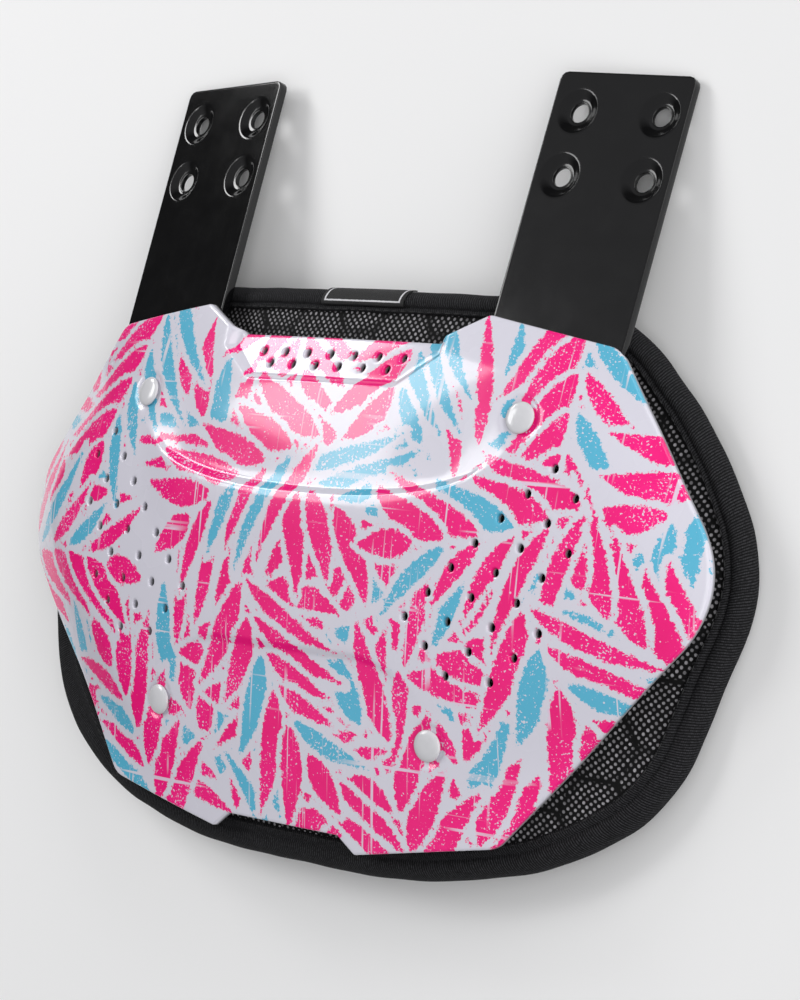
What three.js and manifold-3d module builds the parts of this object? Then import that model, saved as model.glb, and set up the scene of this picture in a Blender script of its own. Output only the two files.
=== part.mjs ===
// Football back plate: a moulded shell and two strap blades riveted together over an arched foam pad.
// Millimetres, +Z up. The pad lies on the ground, hollow side down, and +Y points to the strap tips.
// Until the last lines the origin is midway between the four rivets, at the height of their heads.
import * as THREE from 'three';
import { mergeVertices } from 'three/addons/utils/BufferGeometryUtils.js';
import Module from 'manifold-3d';

const wasm = await Module();
wasm.setup();

// Air between neighbouring pieces
const GAP = 0.3;

// Facets round a hole or a rivet, and heights that every through cut passes
const ROUND_SIDES = 16;
const VENT_SIDES = 6;
const CUT = { low: -40, high: 20 };

// Shell: a plate bent about both axes, flat below straightY; heights are those of its outer face
const SHELL = {
  thickness: 2.8, crownZ: 7.25, crownY: 10, bendX: 7.03e-4, bendY: 1.65e-3, straightY: -35,
};

// Right half of the shell's outline, from top to bottom: corners and their radii
const SHELL_CORNERS = [
  { name: 'recess end', x: 43.7, y: 73.6, r: 2 },
  { name: 'tab inside', x: 63, y: 83.4, r: 3 },
  { name: 'tab outside', x: 111, y: 75.4, r: 8 },
  { name: 'side', x: 159.7, y: 5.5, r: 33 },
  { name: 'lower', x: 86.8, y: -80, r: 9 },
  { name: 'notch outside', x: 32.4, y: -90.2, r: 1.5 },
  { name: 'notch inside', x: 25.1, y: -85, r: 1.5 },
];

// Creases on the right half: past the line a to b the shell drops by slope, over a bend soft wide
const CREASES = [
  { name: 'upper side', ax: 96, ay: 65.7, bx: 132.3, by: 15.9, slope: 0.34, soft: 9, fades: true },
  { name: 'lower side', ax: 140, ay: 14, bx: 89, by: -43.5, slope: 0.24, soft: 4, fades: true },
  { name: 'tab fold', ax: 52.5, ay: 69.7, bx: 87.2, by: 64.3, slope: 0.06, soft: 2, fades: false },
];
const CREASE_FADE = { from: 44, to: 92 };

// Curved step across the shell: the face is proud under the line and sunk above it
const SMILE = {
  y: 22.2, rise2: 1e-3, rise4: 2e-7, kinkX: 69, kinkSlope: 0.72, endX: 84, fadeX: 58,
  wall: 2.3, proud: 1.2, sunk: 1.4, fadeBelow: 30, fadeAbove: 32,
};

// Vented recess along the top edge, between two slanted end walls
const RECESS = {
  y: 58.4, endX: 33, slantX: 13.9, slantY: 10.1, limitX: 48, wall: 2.2, depth: 1.2, deepen: 0.175,
};

// Soft ledge under the middle of the shell, its ends curving down
const LEDGE = { y: -26, flatX: 30, drop: 0.014, wall: 5, depth: 1, endX: 62, fadeBelow: 34 };

// Vents: side rows of one staggered lattice (right half) and two rows in the recess
const VENT_RADIUS = 1.5;
const VENT_PITCH = 8.3;
const SIDE_VENT_ROWS = [
  { y: 37.2, x: 99.2, count: 1 }, { y: 28.8, x: 91.2, count: 2 }, { y: 20.6, x: 83, count: 2 },
  { y: 12.2, x: 74.8, count: 3 }, { y: 4, x: 66.8, count: 3 }, { y: -4.4, x: 58.8, count: 3 },
  { y: -12.7, x: 50.6, count: 4 }, { y: -21, x: 59.1, count: 3 }, { y: -29.4, x: 67.4, count: 2 },
];
const RECESS_VENT_ROWS = [{ y: 68, count: 7 }, { y: 64, count: 6 }];
const RECESS_VENT_PITCH = 10.5;

// Rivets: domed head in a shallow seat of the shell, shank through it, collar behind
const RIVET = {
  headRadius: 5.75, headHeight: 2.6, shankRadius: 2.5, collarRadius: 5, collarHeight: 1.2,
  seatRadius: 6.7, seatDepth: 0.6, tiltRoom: 0.6,
};
const TOP_RIVET = { x: 83.9, y: 51.8 };
const BOTTOM_RIVET = { x: 61.4, y: -51.8 };

// Strap blade on the right: its bolt pattern's centre, and how far its face leans per millimetre
const STRAP = {
  x: 87.6, y: 139.7, z: -23.75, leanX: -0.1, leanY: -0.2114, splay: 0.026, roll: -0.042,
  width: 50.8, thickness: 3.2, above: 24.1, taperFrom: -70, tongueRadius: 14, cornerRadius: 3.5,
};
const BOLT = {
  halfAcross: 15.4, halfAlong: 10.8, radius: 3.25, seatRadius: 5.4, mouthRadius: 7.4, depth: 1.4,
};

// Pad: arched middle surface, rounded rim, front face crowned over an ellipse
const PAD = {
  z: -12.25, bendX: 7.9e-4, levelY: 20, bendTop: 1.25e-3, bendBottom: 5e-4,
  rimRadius: 4.75, faceLift: 5.05, crown: 6, middleY: -3, crownHalfX: 155, crownHalfY: 93,
};

// Right half of the pad's outline, from top to bottom: corners and their radii
const PAD_CORNERS = [
  { name: 'top', x: 101, y: 91.4, r: 65 },
  { name: 'upper side', x: 141.7, y: 49.7, r: 123 },
  { name: 'side', x: 160.3, y: 11.2, r: 51 },
  { name: 'lower side', x: 138.4, y: -60.5, r: 57 },
  { name: 'foot', x: 102.8, y: -84.6, r: 110 },
  { name: 'bottom', x: 50, y: -97.2, r: 217 },
];
const GROUND_Z = -34.4;
const BINDING = { width: 11, wall: 1.4, arcSteps: 5 };
const RIM_STEPS = 60;
const PAD_RINGS = [0.84, 0.66, 0.46, 0.24];
const LABEL = { width: 37, reach: 7, thickness: 0.8, arcSteps: 4, lengthSteps: 4, fromAngle: 0.2 };

const { smoothstep, clamp } = THREE.MathUtils;
const QUARTER = Math.PI / 2;
const mirrored = (x, side) => (side === 'left' ? -x : x);

// Solids and meshes

function solidOf(geometry) {
  const bare = geometry.clone();
  bare.deleteAttribute('normal');
  bare.deleteAttribute('uv');
  const merged = mergeVertices(bare, 1e-4);
  return new wasm.Manifold(new wasm.Mesh({
    numProp: 3,
    vertProperties: new Float32Array(merged.attributes.position.array),
    triVerts: new Uint32Array(merged.index.array),
  }));
}

function geometryOf(solid) {
  const { vertProperties, triVerts } = solid.getMesh();
  return indexedGeometry(Array.from(vertProperties), Array.from(triVerts));
}

function indexedGeometry(positions, triangles) {
  const geometry = new THREE.BufferGeometry();
  geometry.setAttribute('position', new THREE.Float32BufferAttribute(positions, 3));
  geometry.setIndex(triangles);
  geometry.computeVertexNormals();
  return geometry;
}

function prism(points, low, high) {
  const geometry = new THREE.ExtrudeGeometry(new THREE.Shape(points), {
    depth: high - low, bevelEnabled: false, curveSegments: 1,
  });
  return solidOf(geometry.translate(0, 0, low));
}

function roundPrism(x, y, radius, low, sides) {
  const ring = Array.from({ length: sides }, (_, i) => {
    const angle = (i + 0.5) * 2 * Math.PI / sides;
    return new THREE.Vector2(x + radius * Math.cos(angle), y + radius * Math.sin(angle));
  });
  return prism(ring, low, CUT.high);
}

// Corners of the right half, top to bottom, and their mirror images: a loop turning to the left
const bothHalves = (corners) =>
  [...corners.map((corner) => ({ ...corner, x: -corner.x })), ...corners.toReversed()];

// A profile of radius and height pairs turned about the Z axis
const turned = (profile) =>
  new THREE.LatheGeometry(profile.map(([r, z]) => new THREE.Vector2(r, z)), ROUND_SIDES).rotateX(QUARTER);

// A polygon with each corner replaced by an arc of its radius
function roundedOutline(corners, arcStep = 0.22) {
  const at = (i) => new THREE.Vector2(corners.at(i).x, corners.at(i).y);
  return corners.flatMap((corner, i) => {
    const here = at(i);
    const back = at(i - 1).sub(here).normalize();
    const ahead = at((i + 1) % corners.length).sub(here).normalize();
    const half = Math.acos(back.dot(ahead)) / 2;
    const inward = back.clone().add(ahead).normalize();
    const centre = here.clone().addScaledVector(inward, corner.r / Math.sin(half));
    const start = here.clone().addScaledVector(back, corner.r / Math.tan(half));
    const end = here.clone().addScaledVector(ahead, corner.r / Math.tan(half));
    const turn = Math.PI - 2 * half;
    const way = Math.sign(start.clone().sub(centre).cross(end.clone().sub(centre)));
    const steps = Math.max(1, Math.ceil(turn / arcStep));
    return Array.from({ length: steps + 1 }, (_, k) =>
      start.clone().rotateAround(centre, way * turn * k / steps));
  });
}

// Rings of points joined into a tube: closed end to end, or capped by its first and last ring
function tubeGeometry(rings, closed) {
  const count = rings[0].length;
  const triangles = [];
  const last = closed ? rings.length : rings.length - 1;
  for (let i = 0; i < last; i++) {
    const j = (i + 1) % rings.length;
    for (let k = 0; k < count; k++) {
      const n = (k + 1) % count;
      const [a, b, c, d] = [i * count + k, j * count + k, j * count + n, i * count + n];
      triangles.push(a, b, c, a, c, d);
    }
  }
  if (!closed) {
    for (const [ring, flip] of [[0, false], [rings.length - 1, true]]) {
      const base = ring * count;
      for (let k = 0; k < count / 2 - 1; k++) {
        const [a, b, c, d] = [base + k, base + k + 1, base + count - 2 - k, base + count - 1 - k];
        triangles.push(...(flip ? [a, c, b, a, d, c] : [a, b, c, a, c, d]));
      }
    }
  }
  return indexedGeometry(rings.flat().flatMap((p) => p.toArray()), triangles);
}

// Shell surface

const bend = (distance, slope, soft) => slope * (Math.hypot(distance, soft) + distance) / 2;

function beyond(crease, x, y) {
  const along = new THREE.Vector2(crease.bx - crease.ax, crease.by - crease.ay).normalize();
  return along.x * (y - crease.ay) - along.y * (x - crease.ax);
}

function smileLine(x) {
  const inner = Math.min(Math.abs(x), SMILE.kinkX);
  const outer = Math.min(Math.abs(x), SMILE.endX) - inner;
  return SMILE.y + SMILE.rise2 * inner ** 2 + SMILE.rise4 * inner ** 4 + SMILE.kinkSlope * outer;
}

function smileRelief(x, y) {
  const over = y - smileLine(x);
  const strength = 1 - smoothstep(Math.abs(x), SMILE.fadeX, SMILE.endX);
  const proud = SMILE.proud * (1 - smoothstep(-over, 0, SMILE.fadeBelow));
  const sunk = -SMILE.sunk * (1 - smoothstep(over - SMILE.wall, 0, SMILE.fadeAbove));
  const step = clamp(over / SMILE.wall, 0, 1);
  return strength * (proud * (1 - step) + sunk * step);
}

function recessDepth(x, y) {
  const slant = Math.hypot(RECESS.slantX, RECESS.slantY);
  const fromEnd = (RECESS.slantX * (y - RECESS.y) - RECESS.slantY * (Math.abs(x) - RECESS.endX)) / slant;
  const inside = Math.min(y - RECESS.y, fromEnd, RECESS.limitX - Math.abs(x));
  return smoothstep(inside, 0, RECESS.wall) * (RECESS.depth + RECESS.deepen * (y - RECESS.y));
}

function ledgeDepth(x, y) {
  const line = LEDGE.y - LEDGE.drop * Math.max(0, Math.abs(x) - LEDGE.flatX) ** 2;
  const under = line - y;
  const strength = 1 - smoothstep(Math.abs(x), LEDGE.flatX, LEDGE.endX);
  const fade = 1 - smoothstep(under, LEDGE.wall, LEDGE.fadeBelow);
  return LEDGE.depth * strength * fade * smoothstep(under, 0, LEDGE.wall);
}

function shellOuter(x, y) {
  const fromCrown = Math.max(y, SHELL.straightY) - SHELL.crownY;
  const flatPart = Math.min(0, y - SHELL.straightY);
  const archY = SHELL.bendY * (fromCrown ** 2 + 2 * fromCrown * flatPart);
  const fade = 1 - smoothstep(Math.abs(y), CREASE_FADE.from, CREASE_FADE.to);
  const folded = CREASES.reduce((sum, crease) =>
    sum + (crease.fades ? fade : 1) * bend(beyond(crease, Math.abs(x), y), crease.slope, crease.soft), 0);
  return SHELL.crownZ - SHELL.bendX * x ** 2 - archY - folded
    + smileRelief(x, y) - recessDepth(x, y) - ledgeDepth(x, y);
}

const shellInner = (x, y) => shellOuter(x, y) - SHELL.thickness;

// Rows of the shell's grid, by their height at the middle; they bow to follow the curved step
const SHELL_ROWS = [-96, -86, -76, -66, -58, -50, -42, -35, -31, -26, -18, -8, 2, 12, SMILE.y,
  SMILE.y + SMILE.wall, 32, 41, 50, RECESS.y, RECESS.y + RECESS.wall, 66, 72, 79, 88];
const SHELL_COLUMN = 9.5;
const SHELL_HALF_COLUMNS = 17;
const ROW_BOW = { from: -26, to: RECESS.y };

function rowHeight(row, x) {
  const below = (row - ROW_BOW.from) / (SMILE.y - ROW_BOW.from);
  const above = (ROW_BOW.to - row) / (ROW_BOW.to - SMILE.y - SMILE.wall);
  return row + clamp(Math.min(below, above), 0, 1) * (smileLine(x) - SMILE.y);
}

function shellSlab() {
  const columns = Array.from({ length: 2 * SHELL_HALF_COLUMNS + 1 },
    (_, i) => (i - SHELL_HALF_COLUMNS) * SHELL_COLUMN);
  const rings = columns.map((x) => {
    const points = SHELL_ROWS.map((row) => rowHeight(row, x));
    const top = points.map((y) => new THREE.Vector3(x, y, shellOuter(x, y)));
    const under = points.map((y) => new THREE.Vector3(x, y, shellInner(x, y)));
    return [...top, ...under.reverse()];
  });
  return solidOf(tubeGeometry(rings, false));
}

function ventCentres() {
  const side = SIDE_VENT_ROWS.flatMap(({ x, y, count }) =>
    Array.from({ length: count }, (_, i) => ({ x: x + 2 * VENT_PITCH * i, y })));
  const recess = RECESS_VENT_ROWS.flatMap(({ y, count }) =>
    Array.from({ length: count }, (_, i) => ({ x: (i - (count - 1) / 2) * RECESS_VENT_PITCH, y })));
  return [...side, ...side.map(({ x, y }) => ({ x: -x, y })), ...recess];
}

function shellGeometry() {
  const outline = roundedOutline(bothHalves(SHELL_CORNERS));
  let solid = shellSlab().intersect(prism(outline, CUT.low, CUT.high));
  for (const { x, y } of ventCentres()) {
    solid = solid.subtract(roundPrism(x, y, VENT_RADIUS, CUT.low, VENT_SIDES));
  }
  for (const side of ['left', 'right']) {
    for (const { x, y } of [TOP_RIVET, BOTTOM_RIVET]) {
      const spot = { x: mirrored(x, side), y };
      solid = solid.subtract(shankCutter(spot)).subtract(seatCutter(spot));
    }
    solid = solid.subtract(strapBlade(side, GAP));
  }
  return geometryOf(solid);
}

// Strap blades

function strapFrame(side) {
  const across = new THREE.Vector3(1, STRAP.roll, STRAP.leanX + STRAP.roll * STRAP.leanY).normalize();
  const along = new THREE.Vector3(STRAP.splay, 1, STRAP.leanY + STRAP.splay * STRAP.leanX).normalize();
  const out = across.clone().cross(along).normalize();
  along.crossVectors(out, across);
  const frame = new THREE.Matrix4().makeBasis(across, along, out).setPosition(STRAP.x, STRAP.y, STRAP.z);
  return side === 'left' ? new THREE.Matrix4().makeScale(-1, 1, 1).multiply(frame) : frame;
}

// Where a spot of the shell falls on the blade's face, across and along it from the bolt pattern
function onStrap({ x, y }) {
  const z = STRAP.z + STRAP.leanX * (x - STRAP.x) + STRAP.leanY * (y - STRAP.y);
  return new THREE.Vector3(x, y, z).applyMatrix4(strapFrame('right').invert());
}

// The blade as a solid, grown by spare all round where it is used to cut its seat in the shell
function strapBlade(side, spare = 0) {
  const rivet = onStrap(TOP_RIVET);
  const half = STRAP.width / 2 + spare;
  const tongue = STRAP.tongueRadius + spare;
  const outline = roundedOutline([
    { x: half, y: STRAP.above + spare, r: STRAP.cornerRadius },
    { x: -half, y: STRAP.above + spare, r: STRAP.cornerRadius },
    { x: -half, y: STRAP.taperFrom, r: STRAP.cornerRadius },
    { x: rivet.x - tongue, y: rivet.y - tongue, r: tongue - 1 },
    { x: rivet.x + tongue, y: rivet.y - tongue, r: tongue - 1 },
    { x: half, y: STRAP.taperFrom, r: STRAP.cornerRadius },
  ]);
  return prism(outline, -STRAP.thickness - spare, spare).transform(strapFrame(side).elements);
}

// One bolt hole with its dished mouth, as the solid that cuts it
function boltCutter(across, along) {
  const under = -STRAP.thickness - 1;
  const profile = [[0, under], [BOLT.radius, under], [BOLT.radius, -BOLT.depth],
    [BOLT.seatRadius, -BOLT.depth], [BOLT.mouthRadius, 0], [BOLT.mouthRadius, 1], [0, 1]];
  return solidOf(turned(profile).translate(across, along, 0));
}

function strapGeometry(side) {
  const frame = strapFrame(side).elements;
  let blade = strapBlade(side);
  for (const across of [-BOLT.halfAcross, BOLT.halfAcross]) {
    for (const along of [-BOLT.halfAlong, BOLT.halfAlong]) {
      blade = blade.subtract(boltCutter(across, along).transform(frame));
    }
  }
  return geometryOf(blade.subtract(shankCutter({ x: mirrored(TOP_RIVET.x, side), y: TOP_RIVET.y })));
}

// Rivets: each stands square to the shell, with its origin on the shell's outer face

function rivetFrame({ x, y }) {
  const slopeX = (shellOuter(x + 1, y) - shellOuter(x - 1, y)) / 2;
  const slopeY = (shellOuter(x, y + 1) - shellOuter(x, y - 1)) / 2;
  const out = new THREE.Vector3(-slopeX, -slopeY, 1).normalize();
  const turn = new THREE.Quaternion().setFromUnitVectors(new THREE.Vector3(0, 0, 1), out);
  return new THREE.Matrix4().makeRotationFromQuaternion(turn).setPosition(x, y, shellOuter(x, y));
}

const shankCutter = (spot) =>
  roundPrism(0, 0, RIVET.shankRadius + GAP, CUT.low, ROUND_SIDES).transform(rivetFrame(spot).elements);

const seatCutter = (spot) =>
  roundPrism(0, 0, RIVET.seatRadius, -RIVET.seatDepth, ROUND_SIDES).transform(rivetFrame(spot).elements);

// The collar fills the depths from neck to foot behind the outer face
function rivetGeometry(spot, neck, foot) {
  const seat = GAP - RIVET.seatDepth;
  const profile = [[0, -foot], [RIVET.collarRadius, -foot], [RIVET.collarRadius, -neck],
    [RIVET.shankRadius, -neck], [RIVET.shankRadius, seat], [RIVET.headRadius, seat]];
  const domeSteps = 5;
  for (let i = 1; i < domeSteps; i++) {
    const angle = i / domeSteps * QUARTER;
    profile.push([RIVET.headRadius * Math.cos(angle), seat + RIVET.headHeight * Math.sin(angle)]);
  }
  profile.push([0, seat + RIVET.headHeight]);
  return turned(profile).applyMatrix4(rivetFrame(spot));
}

// A top rivet's collar holds the strap from behind
function topRivet(side) {
  const spot = { x: mirrored(TOP_RIVET.x, side), y: TOP_RIVET.y };
  const strapBack = new THREE.Vector3(0, 0, -STRAP.thickness).applyMatrix4(strapFrame(side));
  const strapOut = new THREE.Vector3().setFromMatrixColumn(strapFrame(side), 2);
  const origin = new THREE.Vector3().setFromMatrixPosition(rivetFrame(spot));
  const axis = new THREE.Vector3().setFromMatrixColumn(rivetFrame(spot), 2);
  const neck = origin.sub(strapBack).dot(strapOut) / axis.dot(strapOut) + RIVET.tiltRoom + GAP;
  return rivetGeometry(spot, neck, neck + RIVET.collarHeight);
}

// A bottom rivet's collar fills the space between the shell and the pad
function bottomRivet(side) {
  const spot = { x: mirrored(BOTTOM_RIVET.x, side), y: BOTTOM_RIVET.y };
  const room = shellOuter(spot.x, spot.y) - padFront(spot.x, spot.y);
  return rivetGeometry(spot, SHELL.thickness + 2 * GAP, room - RIVET.tiltRoom - GAP);
}

// Pad

function padMiddle(x, y) {
  const bendY = y > 0 ? PAD.bendTop : PAD.bendBottom;
  return PAD.z - PAD.bendX * x ** 2 - bendY * Math.max(0, Math.abs(y) - PAD.levelY) ** 2;
}

function padFront(x, y) {
  const out = Math.hypot(x / PAD.crownHalfX, (y - PAD.middleY) / PAD.crownHalfY);
  return padMiddle(x, y) + PAD.faceLift + PAD.crown * (1 - Math.min(1, out) ** 2) ** 2;
}

// Rim frames: spots evenly along the pad's outline, each with its direction inward
function rimFrames() {
  const topMiddle = new THREE.Vector2(0, PAD_CORNERS[0].y);
  const loop = new THREE.Shape([topMiddle, ...roundedOutline(bothHalves(PAD_CORNERS))]).closePath();
  const spots = loop.getSpacedPoints(RIM_STEPS).slice(0, RIM_STEPS);
  return spots.map((spot, i) => {
    const along = spots[(i + 1) % RIM_STEPS].clone().sub(spots.at(i - 1)).normalize();
    return { spot: new THREE.Vector3(spot.x, spot.y, 0), inward: new THREE.Vector3(-along.y, along.x, 0) };
  });
}

// A section point: s inward from the rim, h over the pad's middle, clear of the ground by lift
function rimPoint({ spot, inward }, { s, h, lift }) {
  const point = spot.clone().addScaledVector(inward, s);
  point.z = Math.max(padMiddle(point.x, point.y) + h, GROUND_Z + lift);
  return point;
}

// Half-round edge of the rim at an inset, from angle to angle about the rim's own centre line
function rimArc(inset, from, to, steps, lift) {
  const radius = PAD.rimRadius - inset;
  return Array.from({ length: steps + 1 }, (_, i) => {
    const angle = from + (to - from) * i / steps;
    return { s: PAD.rimRadius - radius * Math.cos(angle), h: radius * Math.sin(angle), lift };
  });
}

function bindingGeometry() {
  const inner = PAD.rimRadius - BINDING.wall;
  const section = [
    { s: BINDING.width, h: inner, lift: BINDING.wall },
    ...rimArc(BINDING.wall, QUARTER, -QUARTER, BINDING.arcSteps, BINDING.wall),
    { s: BINDING.width, h: -inner, lift: BINDING.wall },
    { s: BINDING.width, h: -PAD.rimRadius, lift: 0 },
    ...rimArc(0, -QUARTER, QUARTER, BINDING.arcSteps, 0),
    { s: BINDING.width, h: PAD.rimRadius, lift: 0 },
  ];
  return tubeGeometry(rimFrames().map((frame) => section.map((p) => rimPoint(frame, p))), true);
}

function padGeometry() {
  const inset = BINDING.wall + GAP;
  const shoulder = BINDING.width + GAP;
  const frames = rimFrames();
  const edge = rimArc(inset, -QUARTER, QUARTER, BINDING.arcSteps, inset);
  const thin = PAD.rimRadius - inset;
  const section = [{ s: shoulder, h: -thin, lift: inset }, ...edge, { s: shoulder, h: thin, lift: inset }];
  const rim = section.map((p) => frames.map((frame) => rimPoint(frame, p)));
  const centre = new THREE.Vector3(0, PAD.middleY, 0);
  const shrunk = (k, height) => frames.map(({ spot, inward }) => {
    const point = spot.clone().addScaledVector(inward, shoulder).lerp(centre, 1 - k);
    return point.setZ(height(point.x, point.y));
  });
  const back = (x, y) => Math.max(padMiddle(x, y) - PAD.rimRadius, GROUND_Z + inset);
  const front = [1, ...PAD_RINGS].map((k) => shrunk(k, padFront));
  const under = [1, ...PAD_RINGS].map((k) => shrunk(k, back));
  return discGeometry([...under.reverse(), ...rim, ...front]);
}

// Rings stacked from one pole to the other, each pole closed by a fan
function discGeometry(rings) {
  const count = rings[0].length;
  const points = rings.flat();
  const triangles = [];
  for (let i = 0; i + 1 < rings.length; i++) {
    for (let k = 0; k < count; k++) {
      const n = (k + 1) % count;
      const [a, b, c, d] = [i * count + k, i * count + n, (i + 1) * count + n, (i + 1) * count + k];
      triangles.push(a, b, c, a, c, d);
    }
  }
  const middleOf = (ring) => ring.reduce((sum, p) => sum.add(p), new THREE.Vector3()).divideScalar(count);
  points.push(middleOf(rings[0]), middleOf(rings.at(-1)));
  const last = (rings.length - 1) * count;
  for (let k = 0; k < count; k++) {
    const n = (k + 1) % count;
    triangles.push(points.length - 2, n, k, points.length - 1, last + k, last + n);
  }
  return indexedGeometry(points.flatMap((p) => p.toArray()), triangles);
}

// Label: a thin patch over the top of the rim and down its front
function labelGeometry() {
  const skin = (offset) => [
    ...rimArc(-offset, LABEL.fromAngle, QUARTER, LABEL.arcSteps, 0),
    { s: LABEL.reach, h: PAD.rimRadius + offset, lift: 0 },
  ];
  const section = [...skin(GAP + LABEL.thickness), ...skin(GAP).reverse()];
  const frames = Array.from({ length: LABEL.lengthSteps + 1 }, (_, i) => ({
    spot: new THREE.Vector3((0.5 - i / LABEL.lengthSteps) * LABEL.width, PAD_CORNERS[0].y, 0),
    inward: new THREE.Vector3(0, -1, 0),
  }));
  return tubeGeometry(frames.map((frame) => section.map((p) => rimPoint(frame, p))), false);
}

// Finishes

const finishes = {
  shell: { color: 0xe8e6ee, roughness: 0.3, metalness: 0 },
  strap: { color: 0x121214, roughness: 0.2, metalness: 0 },
  rivet: { color: 0xf2f2f4, roughness: 0.25, metalness: 0 },
  mesh: { color: 0x1c1c20, roughness: 0.9, metalness: 0 },
  binding: { color: 0x111113, roughness: 0.85, metalness: 0 },
  label: { color: 0x1a1a1c, roughness: 0.7, metalness: 0 },
};

const part = new THREE.Group();

function add(name, finish, geometry) {
  const mesh = new THREE.Mesh(geometry, new THREE.MeshStandardMaterial(finishes[finish]));
  mesh.name = name;
  part.add(mesh);
}

add('shell', 'shell', shellGeometry());
for (const side of ['left', 'right']) {
  add(`strap_${side}`, 'strap', strapGeometry(side));
  add(`rivet_top_${side}`, 'rivet', topRivet(side));
  add(`rivet_bottom_${side}`, 'rivet', bottomRivet(side));
}
add('pad_body', 'mesh', padGeometry());
add('pad_binding', 'binding', bindingGeometry());
add('pad_label', 'label', labelGeometry());

// The origin goes to the ground under the middle of the whole
const box = new THREE.Box3().setFromObject(part, true);
part.position.set(0, -(box.min.y + box.max.y) / 2, -box.min.z);

export default part;
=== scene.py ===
import cmath
import math

import bmesh
import bpy
import numpy as np
from mathutils import Matrix, Vector
from mathutils.geometry import delaunay_2d_cdt
from mathutils.kdtree import KDTree


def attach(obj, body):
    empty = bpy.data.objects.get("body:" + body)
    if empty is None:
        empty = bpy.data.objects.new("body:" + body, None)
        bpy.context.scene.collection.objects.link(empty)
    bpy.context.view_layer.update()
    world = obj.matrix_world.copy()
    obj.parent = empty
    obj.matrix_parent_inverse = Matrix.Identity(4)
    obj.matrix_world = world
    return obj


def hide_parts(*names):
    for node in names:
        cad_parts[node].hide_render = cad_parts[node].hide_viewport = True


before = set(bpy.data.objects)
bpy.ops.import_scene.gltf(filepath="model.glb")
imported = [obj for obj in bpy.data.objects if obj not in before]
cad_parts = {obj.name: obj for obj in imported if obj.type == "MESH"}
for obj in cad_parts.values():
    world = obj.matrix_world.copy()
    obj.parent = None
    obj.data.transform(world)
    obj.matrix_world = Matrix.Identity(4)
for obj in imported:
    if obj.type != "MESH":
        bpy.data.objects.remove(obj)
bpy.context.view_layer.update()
print("frame loaded:", ", ".join(sorted(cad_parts)))

# every piece is modelled in millimetres about the middle of the four rivets, then brought into the frame
toFrame = Matrix.Translation((0, -0.033354, 0.0344)) @ Matrix.Scale(0.001, 4)
groundZ = -34.4


# camera, floor and light

view = {
    "spot": (0.664117, -0.026705, 0.713015),
    "right": (0.73213, 0.11580, -0.67125),
    "up": (-0.07316, 0.99311, 0.09154),
    "lens": 105.53, "sensor": 36,
}
studio = {
    "floor": (0.87, 0.87, 0.87, 1), "floorHalf": 6,
    "horizon": (0.06, 0.06, 0.06, 1), "zenith": (0.42, 0.42, 0.43, 1), "skyStep": (0.6, 0.3),
    # name, place, aim, size along and across, power
    "lamps": [
        ("softBox", (-0.97, 0.4, 1.1), (0, 0, 0.03), 0.62, 0.52, 6.6),
        ("edgeLight", (-1.05, 0.8, 0.68), (0, 0, 0.03), 0.35, 0.35, 4),
        ("wideFill", (2.0, -0.3, 1.3), (0, 0, 0), 2.2, 2.2, 38),
        ("sideFill", (1.4, 1.4, 0.55), (0, 0, 0), 2.0, 1.0, 18),
    ],
}

scene = bpy.context.scene
scene.view_settings.view_transform = "Standard"

right, up = Vector(view["right"]), Vector(view["up"])
camera = bpy.data.objects.new("camera", bpy.data.cameras.new("camera"))
camera.data.lens = view["lens"]
camera.data.sensor_width = view["sensor"]
camera.matrix_world = Matrix.Translation(view["spot"]) @ Matrix((right, up, right.cross(up))).transposed().to_4x4()
scene.collection.objects.link(camera)
scene.camera = camera

for name, spot, aim, length, width, power in studio["lamps"]:
    lamp = bpy.data.objects.new(name, bpy.data.lights.new(name, "AREA"))
    lamp.data.shape = "RECTANGLE"
    lamp.data.size, lamp.data.size_y = length, width
    lamp.data.energy = power
    lamp.location = spot
    lamp.rotation_euler = (Vector(aim) - Vector(spot)).to_track_quat("-Z", "Y").to_euler()
    scene.collection.objects.link(lamp)
print("camera and", len(studio["lamps"]), "lamps placed")


# shader sums

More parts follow.
